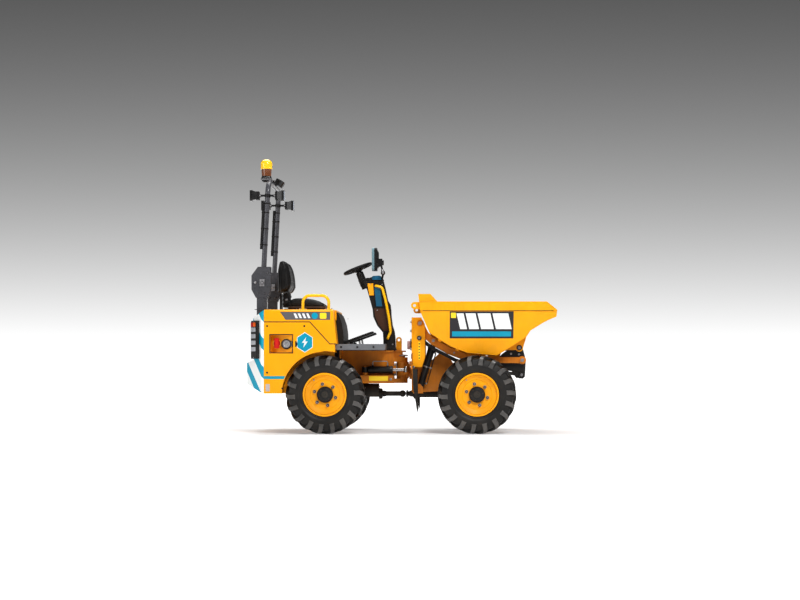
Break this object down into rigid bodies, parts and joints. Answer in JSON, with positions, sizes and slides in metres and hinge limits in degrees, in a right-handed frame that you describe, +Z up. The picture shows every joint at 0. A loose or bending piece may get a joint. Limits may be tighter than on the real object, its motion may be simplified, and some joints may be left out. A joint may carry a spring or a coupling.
{
  "type": "site dumper",
  "caption": "Articulated battery-electric site dumper: rear unit with seat and folding roll-over hoop, front unit with high-lift arms and a tipping skip.",
  "frame": {"origin": "on the ground, straight below the vertical steering pivot, at the middle of the machine's box", "axes": "+X forward to the skip's lip, +Y to the driver's left, +Z up"},
  "size_m": [2.686, 1.1, 2.402],
  "materials": {
    "yellow_paint": "gloss amber-yellow paint, dusty",
    "lemon_paint": "lighter yellow paint of the hand holds",
    "yellow_housing": "moulded yellow housing",
    "black_plastic": "grained black moulding",
    "black_steel": "satin black paint",
    "cast_black": "painted casting",
    "grey_steel": "grey anti-slip floor",
    "chrome_rod": "polished cylinder rod",
    "tyre_rubber": "dusty black rubber",
    "flap_rubber": "sheet rubber",
    "seat_vinyl": "black vinyl with stitched seams",
    "lamp_lens": "lamp cluster lenses",
    "lamp_black": "lamp body with clear lens",
    "amber_lens": "amber beacon dome",
    "red_plastic": "red isolator key",
    "mirror_body": "mirror housing"
  },
  "bodies": {
    "rear_frame": {"rear_chassis": "yellow_paint", "lifting_eye": "yellow_paint", "rear_axle": "cast_black", "drive_motor": "cast_black", "prop_shaft_rear": "cast_black", "battery_pack": "black_plastic", "body_side_left": "yellow_housing", "body_side_right": "yellow_housing", "body_deck": "yellow_housing", "isolator_switch": "red_plastic", "charge_socket": "black_plastic", "counterweight": "yellow_paint", "tail_lamps": "lamp_lens", "seat_base": "black_steel", "seat_cushion": "seat_vinyl", "seat_backrest": "seat_vinyl", "seat_front_panel": "black_plastic", "hand_rail": "lemon_paint", "floor_plate": "grey_steel", "pedals": "black_plastic", "steering_tower": "black_plastic", "steering_column": "black_plastic", "tower_handles": "lemon_paint", "mirror": "mirror_body", "rops_posts": "black_steel", "steer_barrels": "black_steel"},
    "steering_wheel": {"steering_wheel": "black_plastic"},
    "rops_hoop": {"rops_hoop": "black_steel", "work_lamps": "lamp_black", "beacon": "amber_lens"},
    "pivot_block": {"pivot_block": "yellow_paint"},
    "steer_rod_left": {"steer_rod_left": "chrome_rod"},
    "steer_rod_right": {"steer_rod_right": "chrome_rod"},
    "front_frame": {"front_chassis": "yellow_paint", "mast_left": "yellow_paint", "mast_right": "yellow_paint", "horn": "black_plastic", "front_axle": "cast_black", "prop_shaft_front": "cast_black", "mud_flaps": "flap_rubber"},
    "lift_arm": {"lift_arm": "yellow_paint"},
    "level_links": {"level_links": "black_steel"},
    "carrier": {"carrier": "black_steel"},
    "skip": {"skip": "yellow_paint"},
    "lift_barrels": {"lift_barrels": "black_steel"},
    "lift_rods": {"lift_rods": "chrome_rod"},
    "tip_barrel": {"tip_barrel": "black_steel"},
    "tip_rod": {"tip_rod": "chrome_rod"},
    "wheel_front_left": {"tyre_front_left": "tyre_rubber", "wheel_front_left": "yellow_paint"},
    "wheel_front_right": {"tyre_front_right": "tyre_rubber", "wheel_front_right": "yellow_paint"},
    "wheel_rear_left": {"tyre_rear_left": "tyre_rubber", "wheel_rear_left": "yellow_paint"},
    "wheel_rear_right": {"tyre_rear_right": "tyre_rubber", "wheel_rear_right": "yellow_paint"}
  },
  "joints": [
    {"name": "steer", "type": "hinge", "parent": "rear_frame", "child": "pivot_block", "pos_m": [0, 0, 0.55], "axis": [0, 0, 1], "range_deg": [-35, 35]},
    {"name": "oscillate", "type": "hinge", "parent": "pivot_block", "child": "front_frame", "pos_m": [0.1, 0, 0.55], "axis": [1, 0, 0], "range_deg": [-10, 10]},
    {"name": "spin_front_left", "type": "hinge", "parent": "front_frame", "child": "wheel_front_left", "pos_m": [0.655, 0.455, 0.34], "axis": [0, 1, 0], "continuous": true},
    {"name": "spin_front_right", "type": "hinge", "parent": "front_frame", "child": "wheel_front_right", "pos_m": [0.655, -0.455, 0.34], "axis": [0, 1, 0], "continuous": true},
    {"name": "spin_rear_left", "type": "hinge", "parent": "rear_frame", "child": "wheel_rear_left", "pos_m": [-0.655, 0.455, 0.34], "axis": [0, 1, 0], "continuous": true},
    {"name": "spin_rear_right", "type": "hinge", "parent": "rear_frame", "child": "wheel_rear_right", "pos_m": [-0.655, -0.455, 0.34], "axis": [0, 1, 0], "continuous": true},
    {"name": "lift", "type": "hinge", "parent": "front_frame", "child": "lift_arm", "pos_m": [0.16, 0, 0.961], "axis": [0, -1, 0], "range_deg": [0, 40]},
    {"name": "level_link_swing", "type": "hinge", "parent": "front_frame", "child": "level_links", "pos_m": [0.154, 0, 0.832], "axis": [0, -1, 0], "range_deg": [0, 40]},
    {"name": "carrier_level", "type": "hinge", "parent": "lift_arm", "child": "carrier", "pos_m": [1.055, 0, 0.638], "axis": [0, -1, 0], "range_deg": [-40, 0]},
    {"name": "tip", "type": "hinge", "parent": "carrier", "child": "skip", "pos_m": [1.03, 0, 0.747], "axis": [0, 1, 0], "range_deg": [0, 70]},
    {"name": "lift_barrel_swing", "type": "hinge", "parent": "front_frame", "child": "lift_barrels", "pos_m": [0.156, 0, 0.377], "axis": [0, 1, 0], "range_deg": [0, 4.5]},
    {"name": "lift_rod_slide", "type": "slide", "parent": "lift_barrels", "child": "lift_rods", "axis": [0.2706, 0, 0.9627], "range_m": [0, 0.13]},
    {"name": "tip_barrel_swing", "type": "hinge", "parent": "carrier", "child": "tip_barrel", "pos_m": [0.48, 0, 0.4], "axis": [0, -1, 0], "range_deg": [0, 15]},
    {"name": "tip_rod_slide", "type": "slide", "parent": "tip_barrel", "child": "tip_rod", "axis": [0.8079, 0, 0.5893], "range_m": [0, 0.18]},
    {"name": "steer_rod_left_slide", "type": "slide", "parent": "rear_frame", "child": "steer_rod_left", "axis": [1, 0, 0], "range_m": [-0.08, 0.08]},
    {"name": "steer_rod_right_slide", "type": "slide", "parent": "rear_frame", "child": "steer_rod_right", "axis": [1, 0, 0], "range_m": [-0.08, 0.08]},
    {"name": "hoop_fold", "type": "hinge", "parent": "rear_frame", "child": "rops_hoop", "pos_m": [-1.267, 0, 1.311], "axis": [0, -1, 0], "range_deg": [0, 105]},
    {"name": "steering_wheel_turn", "type": "hinge", "parent": "rear_frame", "child": "steering_wheel", "pos_m": [-0.402, 0, 1.459], "axis": [-0.3665, 0, 0.9304], "continuous": true}
  ],
  "couplings": [
    {"joint": "level_link_swing", "follows": "lift", "ratio": 1},
    {"joint": "carrier_level", "follows": "lift", "ratio": -1},
    {"joint": "lift_barrel_swing", "follows": "lift", "ratio": 0.105},
    {"joint": "lift_rod_slide", "follows": "lift", "m_per_rad": 0.1813},
    {"joint": "tip_barrel_swing", "follows": "tip", "ratio": 0.21},
    {"joint": "tip_rod_slide", "follows": "tip", "m_per_rad": 0.145},
    {"joint": "steer_rod_left_slide", "follows": "steer", "m_per_rad": -0.125},
    {"joint": "steer_rod_right_slide", "follows": "steer", "m_per_rad": 0.125}
  ]
}
